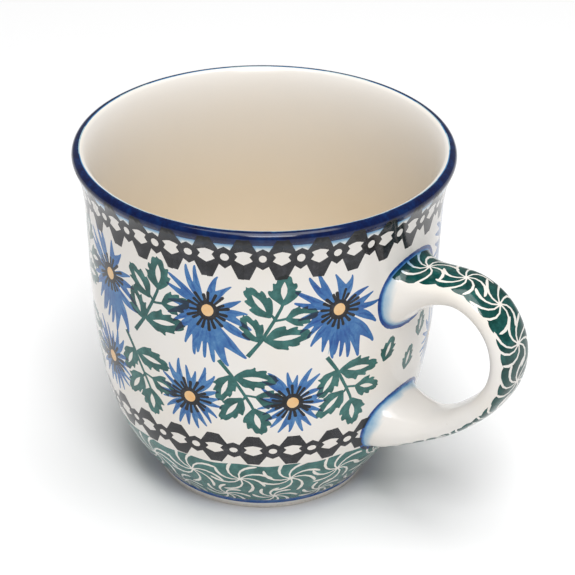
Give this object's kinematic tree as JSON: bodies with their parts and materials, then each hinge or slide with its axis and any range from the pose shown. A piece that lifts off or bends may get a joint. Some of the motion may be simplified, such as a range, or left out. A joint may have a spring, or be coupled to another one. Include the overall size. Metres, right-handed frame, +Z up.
{
  "type": "stoneware mug",
  "caption": "Hand-decorated stoneware mug with a flared rim, a rounded belly narrowing to a foot ring, and a loop handle luted to the side.",
  "frame": {"origin": "on the cup's axis, in the standing plane of the foot ring", "axes": "+Z up along the cup's axis, +X from the axis out through the handle, +Y completes the right-handed set"},
  "size_m": [0.1322, 0.102, 0.097],
  "materials": {
    "clay": "fired, unglazed, matte",
    "slip": "fired slip, matte",
    "liner_glaze": "gloss, warm cream over the clay",
    "painted_glaze": "gloss over hand-painted blue, green, black and yellow",
    "handle_painted_glaze": "gloss over a hand-painted green band",
    "base_glaze": "gloss, warm cream"
  },
  "bodies": {
    "root": {"cup_body": "clay", "handle": "clay", "upper_slip_joint": "slip", "lower_slip_joint": "slip", "inside_glaze": "liner_glaze", "outside_glaze": "painted_glaze", "handle_glaze": "handle_painted_glaze", "base_glaze": "base_glaze"}
  },
  "joints": []
}
